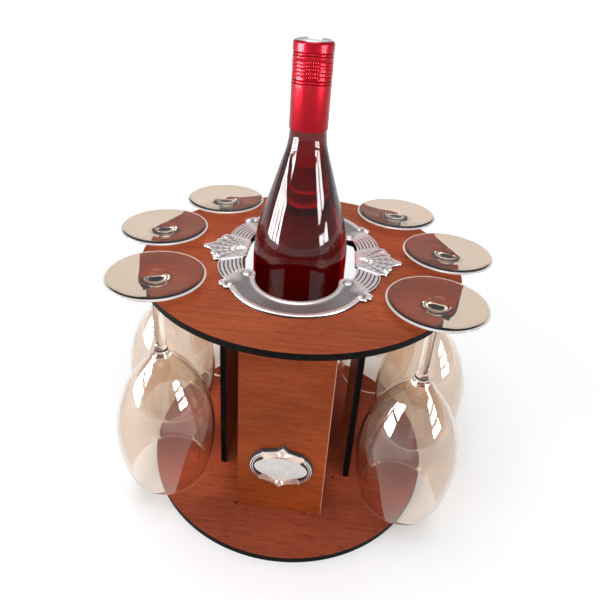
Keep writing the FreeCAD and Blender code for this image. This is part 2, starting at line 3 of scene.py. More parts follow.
import bmesh
import bpy
import numpy
from mathutils import Matrix, Vector
from mathutils.geometry import delaunay_2d_cdt


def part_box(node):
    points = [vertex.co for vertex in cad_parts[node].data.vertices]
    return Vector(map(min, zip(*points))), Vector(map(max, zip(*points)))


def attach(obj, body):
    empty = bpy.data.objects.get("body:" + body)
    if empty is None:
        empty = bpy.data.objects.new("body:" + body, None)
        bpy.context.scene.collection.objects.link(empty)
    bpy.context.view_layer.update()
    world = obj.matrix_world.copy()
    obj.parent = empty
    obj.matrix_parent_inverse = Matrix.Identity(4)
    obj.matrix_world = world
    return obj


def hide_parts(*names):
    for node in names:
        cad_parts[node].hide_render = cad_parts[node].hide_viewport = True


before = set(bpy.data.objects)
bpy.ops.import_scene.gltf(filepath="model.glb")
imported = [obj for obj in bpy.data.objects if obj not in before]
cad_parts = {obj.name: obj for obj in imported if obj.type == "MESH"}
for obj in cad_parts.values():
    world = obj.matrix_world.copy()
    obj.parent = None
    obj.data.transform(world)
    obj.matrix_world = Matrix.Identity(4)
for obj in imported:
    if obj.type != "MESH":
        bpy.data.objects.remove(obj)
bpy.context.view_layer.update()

# The stand's sizes are in millimetres and become metres in the helpers

MM = 0.001
BODY = "root"
LOW, HIGH = 0, 1
X, Y, Z = 0, 1, 2


def edge_of(node, side, axis):
    """One side of a CAD node's box, in millimetres."""
    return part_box(node)[side][axis] / MM


TOP_SURFACE = edge_of("top_board", HIGH, Z)
BASE_SURFACE = edge_of("base_board", HIGH, Z)
PLATE_TOP = edge_of("ornamental_plate", HIGH, Z)
PANEL_SIDE = edge_of("front_panel", HIGH, X)
BADGE_FRONT = edge_of("badge_face", LOW, Y)
BOTTLE_FOOT = edge_of("bottle", LOW, Z)
BOTTLE_AXIS = ((edge_of("bottle", LOW, X) + edge_of("bottle", HIGH, X)) / 2, 0)
CAP_FOOT = edge_of("screw_cap", LOW, Z)
CAP_HEIGHT = edge_of("screw_cap", HIGH, Z) - CAP_FOOT
WINE_TOP = edge_of("wine", HIGH, Z)
GLASS_FOOT = edge_of("glass_right_front", HIGH, Z)
GLASS_NODES = [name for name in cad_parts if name.startswith("glass_")]

# Helpers for outlines


def arc(centre, radius, start, finish, steps):
    """Points on an arc between two angles in degrees, both ends included."""
    points = []
    for step in range(steps + 1):
        angle = math.radians(start + (finish - start) * step / steps)
        points.append((centre[0] + radius * math.cos(angle), centre[1] + radius * math.sin(angle)))
    return points


def quad_curve(start, middle, finish, steps):
    """Points on a quadratic curve pulled towards its middle point."""
    points = []
    for step in range(steps + 1):
        share = step / steps
        weights = ((1 - share) ** 2, 2 * share * (1 - share), share ** 2)
        points.append(tuple(
            weights[0] * a + weights[1] * b + weights[2] * c
            for a, b, c in zip(start, middle, finish)
        ))
    return points


def lerp(first, last, share):
    """A place between two others."""
    return tuple(a + (b - a) * share for a, b in zip(first, last))


def raised(outline, height):
    """An outline of (radius, height) points, moved up."""
    return [(radius, level + height) for radius, level in outline]


# Helpers for materials


def set_inputs(node, **values):
    """Sets inputs of a node, named with underscores for spaces."""
    for name, value in values.items():
        node.inputs[name.replace("_", " ")].default_value = value


def math_node(tree, operation, *sources):
    """What a math node makes of its sources."""
    node = tree.nodes.new("ShaderNodeMath")
    node.operation = operation
    for source, target in zip(sources, node.inputs):
        tree.links.new(source, target)
    return node.outputs[0]


def parts_of(tree, vector):
    """The X, Y and Z outputs of a vector."""
    node = tree.nodes.new("ShaderNodeSeparateXYZ")
    tree.links.new(vector, node.inputs["Vector"])
    return node.outputs


def map_range(tree, source, low, high, new_low, new_high):
    """Moves values between low and high into a new span, held at its ends."""
    node = tree.nodes.new("ShaderNodeMapRange")
    set_inputs(node, From_Min=low, From_Max=high, To_Min=new_low, To_Max=new_high)
    tree.links.new(source, node.inputs["Value"])
    return node.outputs["Result"]


class Paint:
    """A node material with short ways to add its nodes."""

    def __init__(self, name):
        self.material = bpy.data.materials.new(name)
        self.material.use_nodes = True
        self.tree = self.material.node_tree
        self.shader = self.tree.nodes["Principled BSDF"]
        self.output = self.tree.nodes["Material Output"]
        self.place = self.tree.nodes.new("ShaderNodeTexCoord").outputs["Object"]

    def link(self, source, target):
        """Joins an output to an input."""
        self.tree.links.new(source, target)

    def set(self, **values):
        """Sets inputs of the shader."""
        set_inputs(self.shader, **values)

    def feed(self, **sources):
        """Links outputs to inputs of the shader."""
        for name, source in sources.items():
            self.link(source, self.shader.inputs[name.replace("_", " ")])

    def noise(self, scale, detail=4.0, roughness=0.55, distortion=0.0, stretch=(1, 1, 1)):
        """A noise over the piece, finest along the axes with the largest stretch."""
        mapping = self.tree.nodes.new("ShaderNodeMapping")
        set_inputs(mapping, Scale=stretch)
        self.link(self.place, mapping.inputs["Vector"])
        node = self.tree.nodes.new("ShaderNodeTexNoise")
        set_inputs(node, Scale=scale, Detail=detail, Roughness=roughness, Distortion=distortion)
        self.link(mapping.outputs["Vector"], node.inputs["Vector"])
        return node.outputs["Fac"]

    def ramp(self, source, *stops):
        """Colours for a value, from (value, colour) stops."""
        node = self.tree.nodes.new("ShaderNodeValToRGB")
        elements = node.color_ramp.elements
        while len(elements) < len(stops):
            elements.new(0.5)
        for element, (position, colour) in zip(elements, stops):
            element.position = position
            element.color = (*colour, 1)
        self.link(source, node.inputs["Fac"])
        return node.outputs["Color"]

    def span(self, source, low, high, new_low=0.0, new_high=1.0):
        """Moves a value's span between low and high into a new one."""
        return map_range(self.tree, source, low, high, new_low, new_high)

    def mix(self, share, first, second, blend="MIX"):
        """Mixes two colours, each a tuple or an output."""
        node = self.tree.nodes.new("ShaderNodeMix")
        node.data_type = "RGBA"
        node.blend_type = blend
        for socket, value in (("Factor", share), ("A", first), ("B", second)):
            target = next(item for item in node.inputs if item.name == socket and item.enabled)
            if isinstance(value, (int, float)):
                target.default_value = value
            elif isinstance(value, tuple):
                target.default_value = (*value, 1)
            else:
                self.link(value, target)
        return next(item for item in node.outputs if item.enabled)

    def along(self, axis):
        """The place on the piece along X, Y or Z, in metres."""
        return parts_of(self.tree, self.place)[axis]

    def distance_to(self, spot):
        """How far a place on the piece is from a spot in millimetres, in metres."""
        node = self.tree.nodes.new("ShaderNodeVectorMath")
        node.operation = "DISTANCE"
        self.link(self.place, node.inputs[0])
        node.inputs[1].default_value = [value * MM for value in spot]
        return node.outputs["Value"]

    def facing(self, axis):
        """1 where the surface faces along the axis, either way, and 0 on its other sides."""
        normal = self.tree.nodes.new("ShaderNodeNewGeometry").outputs["True Normal"]
        return self.span(math_node(self.tree, "ABSOLUTE", parts_of(self.tree, normal)[axis]), 0.6, 0.8)

    def bump(self, source, strength, distance):
        """A bump that is distance metres high at most."""
        node = self.tree.nodes.new("ShaderNodeBump")
        set_inputs(node, Strength=strength, Distance=distance)
        self.link(source, node.inputs["Height"])
        self.feed(Normal=node.outputs["Normal"])


def wood(name, grain, face_axis, tones, highlight_from=None, burns=()):
    """Veneered board with streaks along the grain and scorched cut edges.

    The tones are its dark, middle and light colour. From the X given as the fourth argument on,
    along X, a light line is painted along the board's edge as a painted highlight. The burns are spots
    with small dark marks.
    """

    def finer_across(amount):
        return tuple(1.0 if axis == grain else amount for axis in "XYZ")

    paint = Paint(name)
    clouds = paint.noise(9.0, 3.0, 0.5, 0.4, finer_across(2.4))
    streaks = paint.noise(26.0, 6.0, 0.62, 0.6, finer_across(14.0))
    pores = paint.noise(150.0, 3.0, 0.6, 0.0, finer_across(9.0))
    tone = paint.ramp(streaks, *zip((0.30, 0.50, 0.72), tones))
    patches = paint.ramp(clouds, (0.35, (0.80, 0.76, 0.74)), (0.65, (1.16, 1.12, 1.08)))
    tone = paint.mix(0.85, tone, patches, "MULTIPLY")
    flecks = paint.ramp(pores, (0.32, (0.42, 0.38, 0.36)), (0.45, (1.0, 1.0, 1.0)))
    tone = paint.mix(0.75, tone, flecks, "MULTIPLY")
    # Painted highlight: a light line along the board's edge, from the given X on
    if highlight_from is not None:
        edge_highlight = paint.span(paint.along("X"), highlight_from * MM, (highlight_from + EDGE_HIGHLIGHT_BLUR) * MM)
        tone = paint.mix(edge_highlight, tone, EDGE_HIGHLIGHT_COLOUR)
    for burn in burns:
        share = paint.span(paint.distance_to(burn), BURN_CORE * MM, BURN_REACH * MM, 0.85, 0.0)
        tone = paint.mix(share, tone, BURN_COLOUR)
    scorch = paint.noise(260.0, 3.0, 0.6)
    scorched = paint.ramp(scorch, (0.3, (0.003, 0.003, 0.003)), (0.7, (0.011, 0.009, 0.008)))
    is_face = paint.facing(face_axis)
    paint.feed(
        Base_Color=paint.mix(is_face, scorched, tone),
        Specular_IOR_Level=paint.span(is_face, 0.0, 1.0, 0.03, 0.10),
        Roughness=paint.span(streaks, 0.3, 0.7, 0.50, 0.36),
    )
    paint.bump(pores, 0.12, 0.0003)
    return paint.material


def bare_metal(name, colour, low, high, metallic=1.0):
    """Metal with faint clouds, with its roughness between low and high."""
    paint = Paint(name)
    paint.set(Metallic=metallic)
    grain = paint.noise(120.0, 4.0, 0.6)
    tone = paint.ramp(grain, (0.3, tuple(value * 0.9 for value in colour)), (0.7, colour))
    paint.feed(Base_Color=tone, Roughness=paint.span(grain, 0.3, 0.7, low, high))
    paint.bump(grain, 0.06, 0.0002)
    return paint.material


# Helpers for pieces


def new_piece(name, shape, sharp_angle, node, slot, *materials):
    """A smooth piece from a bmesh, which stands for a CAD node and rides with the stand."""
    bmesh.ops.recalc_face_normals(shape, faces=shape.faces)
    mesh = bpy.data.meshes.new(name)
    shape.to_mesh(mesh)
    shape.free()
    mesh.shade_smooth()
    mesh.set_sharp_from_angle(angle=math.radians(sharp_angle))
    for material in materials:
        mesh.materials.append(material)
    piece = bpy.data.objects.new(name, mesh)
    bpy.context.scene.collection.objects.link(piece)
    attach(piece, BODY)
    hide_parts(node)


def turn(shape, outline, centre, segments=96, slot=0, finishes=None):
    """Adds a surface turned about a vertical axis to a bmesh, from (radius, height) points.

    finishes may give the material slot of each step of the outline.
    """
    rings = []
    for radius, height in outline:
        count = 1 if radius < 1e-6 else segments
        ring = []
        for index in range(count):
            angle = 2 * math.pi * index / segments
            across = centre[0] + radius * math.cos(angle)
            along = centre[1] + radius * math.sin(angle)
            ring.append(shape.verts.new((across * MM, along * MM, height * MM)))
        rings.append(ring)
    for level, (low, high) in enumerate(zip(rings, rings[1:])):
        if finishes:
            slot = finishes[level]
        for index in range(segments):
            after = index + 1
            corners = [
                low[index % len(low)], low[after % len(low)],
                high[after % len(high)], high[index % len(high)],
            ]
            corners = list(dict.fromkeys(corners))
            if len(corners) > 2:
                shape.faces.new(corners).material_index = slot


def finish_cad(node, material):
    """Gives a finish to a CAD node that keeps its shape."""
    for material_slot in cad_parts[node].material_slots:
        material_slot.material = material


# Boards, which keep their CAD shape

TOP_TONES = ((0.280, 0.058, 0.021), (0.350, 0.076, 0.027), (0.425, 0.098, 0.037))
BASE_TONES = ((0.245, 0.050, 0.023), (0.310, 0.065, 0.030), (0.375, 0.086, 0.042))
END_TONES = ((0.260, 0.046, 0.009), (0.325, 0.060, 0.012), (0.390, 0.080, 0.018))
# The side panels' tones are darker than the other boards': painted shade of the inside of the tower
SIDE_TONES_PAINTED_SHADE = ((0.135, 0.029, 0.010), (0.180, 0.040, 0.014), (0.230, 0.056, 0.020))
SHELF_TONES = ((0.150, 0.040, 0.020), (0.210, 0.058, 0.030), (0.280, 0.086, 0.044))
# Width, blur and colour of the painted highlight along the front panel's right edge
EDGE_HIGHLIGHT_WIDTH = 0.7
EDGE_HIGHLIGHT_BLUR = 0.3
EDGE_HIGHLIGHT_COLOUR = (0.60, 0.33, 0.24)
BURN_CORE = 0.7
BURN_REACH = 2.2
BURN_COLOUR = (0.030, 0.006, 0.004)
BURN_SPOTS = [(x, y, BASE_SURFACE) for x, y in ((47.3, -47.6), (23.7, -89.4), (-39.2, -88.4))]

# Wood for the side panels in darker tones, as painted shade
side_wood_painted_shade = wood("side_panel_wood_painted_shade", "Y", "X", SIDE_TONES_PAINTED_SHADE)
BOARD_MATERIALS = {
    "top_board": wood("top_board_wood", "X", "Z", TOP_TONES),
    "base_board": wood("base_board_wood", "X", "Z", BASE_TONES, burns=BURN_SPOTS),
    "front_panel": wood("front_panel_wood", "X", "Y", END_TONES, PANEL_SIDE - EDGE_HIGHLIGHT_WIDTH),
    "back_panel": wood("end_panel_wood", "X", "Y", END_TONES),
    "left_panel": side_wood_painted_shade,
    "right_panel": side_wood_painted_shade,
    "bottle_shelf": wood("shelf_wood", "X", "Z", SHELF_TONES),
}
for board_name, board_material in BOARD_MATERIALS.items():
    finish_cad(board_name, board_material)

# Wine glasses

BLOWN_SHARP = 60
FOOT_OUTLINE = [
    (0, 1.5), (4, 1.4), (8, 1.05), (14, 0.6), (24, 0.2), (34, 0.0), (36.6, 0.05), (37.6, 0.35),
    (38, 0.95), (37.7, 1.5), (36.8, 1.85), (30, 2.35), (20, 3.1), (13, 3.75), (10.2, 4.5), (8.2, 5.8),
    (6.6, 7.2), (5.4, 8.9), (4.85, 10.6), (4.65, 12.8), (4.45, 20), (4.3, 38), (4.4, 56),
]
FOOT_EDGE_RADIUS = 36.5
FOOT_EDGE_DEPTH = 2
FOOT_TINT_START = 6
FOOT_TINT_FULL = 3
STEM_END = ((4.6, 64.0), (4.75, 73.2), (10.0, 78.5))
BOWL_WIDEST = 155
BOWL_RADIUS = 42.4
LOWER_CURVE = 106.5
UPPER_CURVE = 157
BOWL_FOOT_ANGLE = -45.9
RIM_ANGLE = 18.6
GLASS_WALL = 1.3
BOWL_FLOOR = 77.5
RIM_LEVEL = 205.7
RIM_ROUND = 0.25
RIM_DROP = 0.12
MOUTH_EDGE = 0.2


def clear_glass(name, colour, foot_colour, clearness=1.0):
    """Thin glass with faint smears, and with a tint of its own at the foot."""
    paint = Paint(name)
    paint.set(Transmission_Weight=clearness, IOR=1.5)
    film = paint.noise(70.0, 3.0, 0.6)
    tint = paint.ramp(film, (0.3, tuple(value * 0.985 for value in colour)), (0.7, colour))
    tint_start = (GLASS_FOOT - FOOT_TINT_START) * MM
    at_foot = paint.span(paint.along("Z"), tint_start, (GLASS_FOOT - FOOT_TINT_FULL) * MM)
    smears = paint.noise(22.0, 4.0, 0.6)
    paint.feed(
        Base_Color=paint.mix(at_foot, tint, foot_colour),
        Roughness=paint.span(smears, 0.35, 0.75, 0.0, 0.035),
    )
    return paint.material


def bowl_side(inset, steps):
    """The side of a bowl from the stem to the mouth, moved inwards."""
    low_centre = (BOWL_RADIUS - LOWER_CURVE, BOWL_WIDEST)
    high_centre = (BOWL_RADIUS - UPPER_CURVE, BOWL_WIDEST)
    lower = arc(low_centre, LOWER_CURVE - inset, BOWL_FOOT_ANGLE, 0, steps)
    upper = arc(high_centre, UPPER_CURVE - inset, 0, RIM_ANGLE, steps // 2)
    return lower + upper[1:]


def glass_outline():
    """Half the section of a glass, as (radius, distance from the foot)."""
    flare = quad_curve(*STEM_END, 8)
    outer = bowl_side(0, 18)
    inner = bowl_side(GLASS_WALL, 18)
    outer_rim, inner_rim = outer[-1][0], inner[-1][0]
    rim = [
        (outer_rim - RIM_ROUND, RIM_LEVEL - RIM_DROP),
        ((outer_rim + inner_rim) / 2, RIM_LEVEL),
        (inner_rim + RIM_ROUND, RIM_LEVEL - RIM_DROP),
    ]
    floor = [(6.6, BOWL_FLOOR + 0.3), (3.2, BOWL_FLOOR - 0.4), (0, BOWL_FLOOR - 0.6)]
    return FOOT_OUTLINE + flare[:-1] + outer + rim + inner[::-1] + floor


def make_glass(node, glass, highlight_glass):
    """One turned wine glass, with a painted highlight on the edges of its foot and mouth, which are of
    a paler, less clear glass.
    """
    low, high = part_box(node)
    centre = [(low[axis] + high[axis]) / 2 / MM for axis in (X, Y)]
    points = glass_outline()
    finishes = []
    # The edges of the foot and the mouth take the second material: a painted highlight
    for start, finish in zip(points, points[1:]):
        is_outermost = min(start[0], finish[0]) > FOOT_EDGE_RADIUS
        at_foot = is_outermost and max(start[1], finish[1]) < FOOT_EDGE_DEPTH
        at_mouth = min(start[1], finish[1]) > RIM_LEVEL - MOUTH_EDGE
        finishes.append(1 if at_foot or at_mouth else 0)
    shape = bmesh.new()
    turn(shape, [(radius, GLASS_FOOT - level) for radius, level in points], centre, finishes=finishes)
    new_piece(f"smooth_{node}", shape, BLOWN_SHARP, node, "clear_glass", glass, highlight_glass)


glass_material = clear_glass("wine_glass", (0.92, 0.82, 0.725), (0.77, 0.61, 0.48))
# Paler, less clear glass for the edges of foot and mouth: a painted highlight
rim_highlight_glass = clear_glass("wine_glass_painted_rim_highlight", (0.90, 0.87, 0.84), (0.90, 0.86, 0.82), clearness=0.35)
for glass_node in GLASS_NODES:
    make_glass(glass_node, glass_material, rim_highlight_glass)

# Bottle and wine

BOTTLE_RADIUS = 40
BOTTLE_WALL = 3.5
BOTTLE_HEIGHT = 299.5
BOTTLE_SEGMENTS = 128
BODY_HEIGHT = 125
SHOULDER_CURVE = 130
SHOULDER_ANGLE = 17.1
NECK_RADIUS = 14.6
NECK_CURVE = 60
HEEL_RADIUS = 5
BOTTLE_BASE = [(0, 16), (6, 15.6), (14, 12.5), (21, 6.4), (25.5, 2.2), (28.5, 0.4), (31, 0)]
NECK_TINT_START = 250
NECK_TINT_FULL = 320
BOTTLE_IOR = 1.32
WINE_IOR = 1.01
WINE_DENSITY = 38.0
WINE_GAP = 0.12


def bottle_side(inset, steps):
    """The side of the bottle from its body to its neck, moved inwards."""
    turn_angle = math.radians(SHOULDER_ANGLE)
    fall = 1 - math.cos(turn_angle)
    slope_foot = BOTTLE_RADIUS - SHOULDER_CURVE * fall
    slope_top = NECK_RADIUS + NECK_CURVE * fall
    neck_start = BODY_HEIGHT + (SHOULDER_CURVE + NECK_CURVE) * math.sin(turn_angle)
    neck_start += (slope_foot - slope_top) / math.tan(turn_angle)
    body_centre = (BOTTLE_RADIUS - SHOULDER_CURVE, BODY_HEIGHT)
    neck_centre = (NECK_RADIUS + NECK_CURVE, neck_start)
    shoulder = arc(body_centre, SHOULDER_CURVE - inset, 0, SHOULDER_ANGLE, steps)
    neck = arc(neck_centre, NECK_CURVE + inset, 180 + SHOULDER_ANGLE, 180, steps)
    return shoulder + neck


def inside_base(inset):
    """The inside bottom of the bottle, from the axis to the wall."""
    middle = [(0, 16), (6, 15.6), (14, 12.6), (21, 6.8), (26, 2.6), (30, 1.4)]
    wall = BOTTLE_RADIUS - inset
    return raised(middle + [(wall - 3, 2.2), (wall, 6)], inset)


def bottle_glass(name, ior):
    """Clear glass with a red tint that is darker up the neck."""
    paint = Paint(name)
    paint.set(Transmission_Weight=1.0, IOR=ior)
    rise = paint.span(paint.along("Z"), NECK_TINT_START * MM, NECK_TINT_FULL * MM)
    body = paint.ramp(paint.noise(40.0), (0.3, (0.80, 0.34, 0.37)), (0.7, (0.86, 0.39, 0.42)))
    paint.feed(
        Base_Color=paint.mix(rise, body, (0.40, 0.20, 0.21)),
        Roughness=paint.span(paint.noise(22.0), 0.35, 0.75, 0.0, 0.03),
    )
    return paint.material


def make_bottle():
    """The bottle with its wall, whose inside hardly bends light because wine wets it."""
    heel = arc((BOTTLE_RADIUS - HEEL_RADIUS, HEEL_RADIUS), HEEL_RADIUS, -90, 0, 8)
    lip = [(0, -2), (-1, 0), (-3, 0)]
    outer = BOTTLE_BASE + heel + bottle_side(0, 16)
    outer += [(NECK_RADIUS + across, BOTTLE_HEIGHT + rise) for across, rise in lip]
    inner = inside_base(BOTTLE_WALL) + bottle_side(BOTTLE_WALL, 16)
    inner += [(NECK_RADIUS - BOTTLE_WALL, BOTTLE_HEIGHT - 2)]
    outline = raised(outer + inner[::-1], BOTTLE_FOOT)
    finishes = [0 if level <= len(outer) else 1 for level in range(len(outline))]
    glass = bottle_glass("bottle_glass", BOTTLE_IOR)
    wet_glass = bottle_glass("bottle_glass_at_wine", WINE_IOR)
    shape = bmesh.new()
    turn(shape, outline, BOTTLE_AXIS, BOTTLE_SEGMENTS, 0, finishes)
    new_piece("smooth_bottle", shape, BLOWN_SHARP, "bottle", "bottle_glass", glass, wet_glass)


def wine_material():
    """Deep red wine that also scatters a little light."""
    paint = Paint("red_wine")
    paint.set(Transmission_Weight=0.97, IOR=WINE_IOR, Roughness=0.0)
    haze = paint.noise(12.0, 2.0, 0.5)
    paint.feed(Base_Color=paint.ramp(haze, (0.3, (0.80, 0.05, 0.06)), (0.7, (0.88, 0.06, 0.08))))
    depth = paint.tree.nodes.new("ShaderNodeVolumeAbsorption")
    set_inputs(depth, Color=(0.72, 0.02, 0.05, 1), Density=WINE_DENSITY)
    paint.link(depth.outputs["Volume"], paint.output.inputs["Volume"])
    return paint.material


def make_wine():
    """The wine, a little clear of the bottle's wall, with its edge drawn up."""
    inset = BOTTLE_WALL + WINE_GAP
    surface = WINE_TOP - BOTTLE_FOOT
    side = bottle_side(inset, 24)
    radius = side[-1][0]
    top = [(radius - 0.1, surface - 0.1), (radius - 1.4, surface - 0.5), (0, surface - 0.6)]
    shape = bmesh.new()
    turn(shape, raised(inside_base(inset) + side[:-1] + top, BOTTLE_FOOT), BOTTLE_AXIS)
    new_piece("smooth_wine", shape, BLOWN_SHARP, "wine", "red_wine", wine_material())


# Screw cap

CAP_RADIUS = 15.2
CAP_WALL = 0.5
CAP_SHARP = 35
SKIRT_TOP = 33.2
GRIP_TOP = 56.6
RING_LEVELS = (34.2, 36.4, 53.4, 55.4)
RING_DEPTH = 0.5
KNURL_LEVELS = (39.3, 42.0, 44.6, 47.0, 49.4)
KNURL_DEPTH = 0.35
KNURL_COUNT = 56
GROOVE = ((-0.75, 0), (-0.45, 0.6), (0, 1), (0.45, 0.6), (0.75, 0))
TOOTH = ((-0.028, 0, 0.38), (0, -0.75, 0.1), (0.028, 0, 0.38), (0, 0.75, 0.1), (0, 0, -0.02))


def cap_material():
    """Red paint on metal, with a fine grain up the cap."""
    paint = Paint("cap_paint")
    paint.set(Metallic=0.42, Coat_Weight=0.16, Coat_Roughness=0.12, Specular_IOR_Level=0.05)
    clouds = paint.noise(40.0, 3.0, 0.5, 0.0, (1, 1, 0.3))
    grain = paint.noise(500.0, 2.0, 0.5, 0.0, (1, 1, 0.2))
    paint.feed(
        Base_Color=paint.ramp(clouds, (0.3, (0.33, 0.001, 0.007)), (0.7, (0.39, 0.001, 0.011))),
        Roughness=paint.span(grain, 0.3, 0.7, 0.27, 0.32),
    )
    paint.bump(grain, 0.03, 0.0001)
    return paint.material


def cap_side():
    """The side of the cap from its foot to its rounded top, with its rings and grooves."""
    points = [(CAP_RADIUS - CAP_WALL, 0), (CAP_RADIUS - 0.1, 0)]
    points += [(CAP_RADIUS, 0.25), (CAP_RADIUS, SKIRT_TOP)]
    for level in sorted(RING_LEVELS + KNURL_LEVELS):
        depth = RING_DEPTH if level in RING_LEVELS else KNURL_DEPTH
        points += [(CAP_RADIUS - depth * share, level + rise) for rise, share in GROOVE]
    points.append((CAP_RADIUS, GRIP_TOP))
    return points + arc((CAP_RADIUS - 2.6, CAP_HEIGHT - 2.9), 2.6, 0, 70, 8)


def add_tooth(shape, level, angle):
    """One short tooth of the grip, standing in a groove of the cap."""
    corners = []
    for turn_by, rise, inset in TOOTH:
        radius = CAP_RADIUS - inset
        across = BOTTLE_AXIS[X] + radius * math.cos(angle + turn_by)
        along = radius * math.sin(angle + turn_by)
        corners.append(shape.verts.new((across * MM, along * MM, (CAP_FOOT + level + rise) * MM)))
    tip = corners.pop()
    for index, corner in enumerate(corners):
        shape.faces.new((corner, corners[(index + 1) % len(corners)], tip))


def make_cap():
    """The painted cap with its bare top, its hollow inside and the teeth of its grip."""
    side = cap_side()
    lip, shoulder = side[-1]
    top = [
        (lip, shoulder), (lip - 0.5, CAP_HEIGHT), (lip - 1.2, CAP_HEIGHT),
        (lip - 1.6, CAP_HEIGHT - 0.5), (0, CAP_HEIGHT - 0.55),
    ]
    inner_radius, inner_height = CAP_RADIUS - CAP_WALL, CAP_HEIGHT - 3.4
    inside = [(inner_radius, 0), (inner_radius, inner_height), (0, inner_height)]
    shape = bmesh.new()
    for outline, slot in ((side, 0), (top, 1), (inside, 0)):
        turn(shape, raised(outline, CAP_FOOT), BOTTLE_AXIS, slot=slot)
    for level in KNURL_LEVELS:
        for index in range(KNURL_COUNT):
            add_tooth(shape, level, 2 * math.pi * index / KNURL_COUNT)
    bmesh.ops.remove_doubles(shape, verts=shape.verts, dist=1e-6)
    top_metal = bare_metal("cap_top_metal", (0.78, 0.78, 0.80), 0.16, 0.3)
    new_piece("ringed_cap", shape, CAP_SHARP, "screw_cap", "red_cap", cap_material(), top_metal)


make_bottle()
make_wine()
make_cap()

# Relief work for the ornamental plate and the badge


def path(corners, spacing):
    """A closed outline through corners, as points; a third and fourth entry make an arc."""
    points = []
    for index, corner in enumerate(corners):
        start = corner[:2]
        finish = corners[(index + 1) % len(corners)][:2]
        points.append(start)
        across, along = finish[0] - start[0], finish[1] - start[1]
        if len(corner) == 2:
            count = max(1, round(math.hypot(across, along) / spacing))
            points += [
                (start[0] + across * step / count, start[1] + along * step / count)
                for step in range(1, count)
            ]
            continue
        radius, side = corner[2:]
        half = math.hypot(across, along) / 2
        reach = math.sqrt(max(radius ** 2 - half ** 2, 0)) * (1 if side == "right" else -1)
        left = (-along / half / 2, across / half / 2)
        centre = (start[0] + across / 2 + left[0] * reach, start[1] + along / 2 + left[1] * reach)
        first = math.atan2(start[1] - centre[1], start[0] - centre[0])
        last = math.atan2(finish[1] - centre[1], finish[0] - centre[0])
        sweep = (last - first) % (2 * math.pi)
        if side == "left":
            sweep -= 2 * math.pi
        count = max(4, round(abs(sweep) * radius / spacing))
        points += [
            (centre[0] + radius * math.cos(first + sweep * step / count),
             centre[1] + radius * math.sin(first + sweep * step / count))
            for step in range(1, count)
        ]
    return points


def depth_inside(points, loops):
    """How far each point lies inside the loops, negative where it is outside them."""
    points = numpy.asarray(points, float)
    nearest = numpy.full(len(points), 1e9)
    inside = numpy.zeros(len(points), bool)
    for loop in loops:
        corners = numpy.asarray(loop, float)
        for (x0, y0), (x1, y1) in zip(corners, numpy.roll(corners, -1, axis=0)):
            run = numpy.array((x1 - x0, y1 - y0))
            offset = points - (x0, y0)
            share = numpy.clip(offset @ run / max(run @ run, 1e-12), 0, 1)
            nearest = numpy.minimum(nearest, numpy.linalg.norm(offset - share[:, None] * run, axis=1))
            if y0 == y1:
                continue
            crosses = (y0 > points[:, 1]) != (y1 > points[:, 1])
            reach = (x1 - x0) * (points[:, 1] - y0) / (y1 - y0) + x0
            inside ^= crosses & (points[:, 0] < reach)
    return numpy.where(inside, nearest, -nearest)


def kept_inside(points, loops, clear):
    """The (x, y, height) points that lie more than clear inside the loops."""
    depths = depth_inside([point[:2] for point in points], loops)
    return [point for point, depth in zip(points, depths) if depth > clear]


def rim_points(loops, inset, height, clear):
    """Points along the inside of the loops, kept where they are clear of the other sides."""
    found = []
    for loop in loops:
        corners = numpy.asarray(loop, float)
        run = numpy.roll(corners, -1, axis=0) - numpy.roll(corners, 1, axis=0)
        run /= numpy.linalg.norm(run, axis=1)[:, None]
        for sign in (-1, 1):
            moved = corners + sign * inset * numpy.stack((-run[:, 1], run[:, 0]), axis=1)
            found += kept_inside([(*place, height) for place in moved], loops, clear)
    return found


def triangulated(places, edges):
    """The places, faces and origins of a triangulation that keeps the edges."""
    places, _, faces, origins, _, _ = delaunay_2d_cdt(places, edges, [], 1, 1e-5)
    return places, faces, origins


def middles_of(places, faces):
    """The middle of each flat face."""
    return [sum((places[corner] for corner in face), Vector((0, 0))) / len(face) for face in faces]


def relief(shape, loops, points, edge_height, put, base, creases=(), part=None):
    """Adds a plate with a worked face to a bmesh.

    The loops are its outline and holes, the points are (across, along, height), and the
    creases are lines of such points that borders between materials follow. put turns
    (across, along, height) into a place in metres, base is the height of its back, and
    part gives the material slot of a place and its depth inside the loops.
    """
    spots = []
    edges = []
    for loop in loops:
        first = len(spots)
        spots += [(*place, edge_height) for place in loop]
        edges += [(first + index, first + (index + 1) % len(loop)) for index in range(len(loop))]
    rim_edges = list(edges)
    rim_count = len(spots)
    for crease in creases:
        first = len(spots)
        spots += crease
        edges += [(first + index, first + index + 1) for index in range(len(crease) - 1)]
    spots += points
    flat = [Vector(spot[:2]) for spot in spots]
    rim = flat[:rim_count]
    places, faces, origins = triangulated(flat, edges)
    middles = middles_of(places, faces)
    corners = []
    top_of = {}
    for place, origin in zip(places, origins):
        height = spots[origin[0]][2] if origin else edge_height
        corners.append(shape.verts.new(put(place[0], place[1], height)))
        for source in origin:
            top_of[source] = corners[-1]
    for face, middle, depth in zip(faces, middles, depth_inside(middles, loops)):
        if depth > 0:
            added = shape.faces.new([corners[corner] for corner in face])
            added.material_index = part(middle[0], middle[1], depth) if part else 0
    back = [shape.verts.new(put(spot[0], spot[1], base)) for spot in spots[:rim_count]]
    for first, last in rim_edges:
        shape.faces.new((top_of[first], top_of[last], back[last], back[first]))
    _, faces, origins = triangulated(rim, rim_edges)
    faces = [[origins[corner][0] for corner in face] for face in faces]
    for face, depth in zip(faces, depth_inside(middles_of(rim, faces), loops)):
        if depth > 0:
            shape.faces.new([back[corner] for corner in reversed(face)])
    loose = [vertex for vertex in shape.verts if not vertex.link_faces]
    bmesh.ops.delete(shape, geom=loose, context="VERTS")


# Ornamental plate

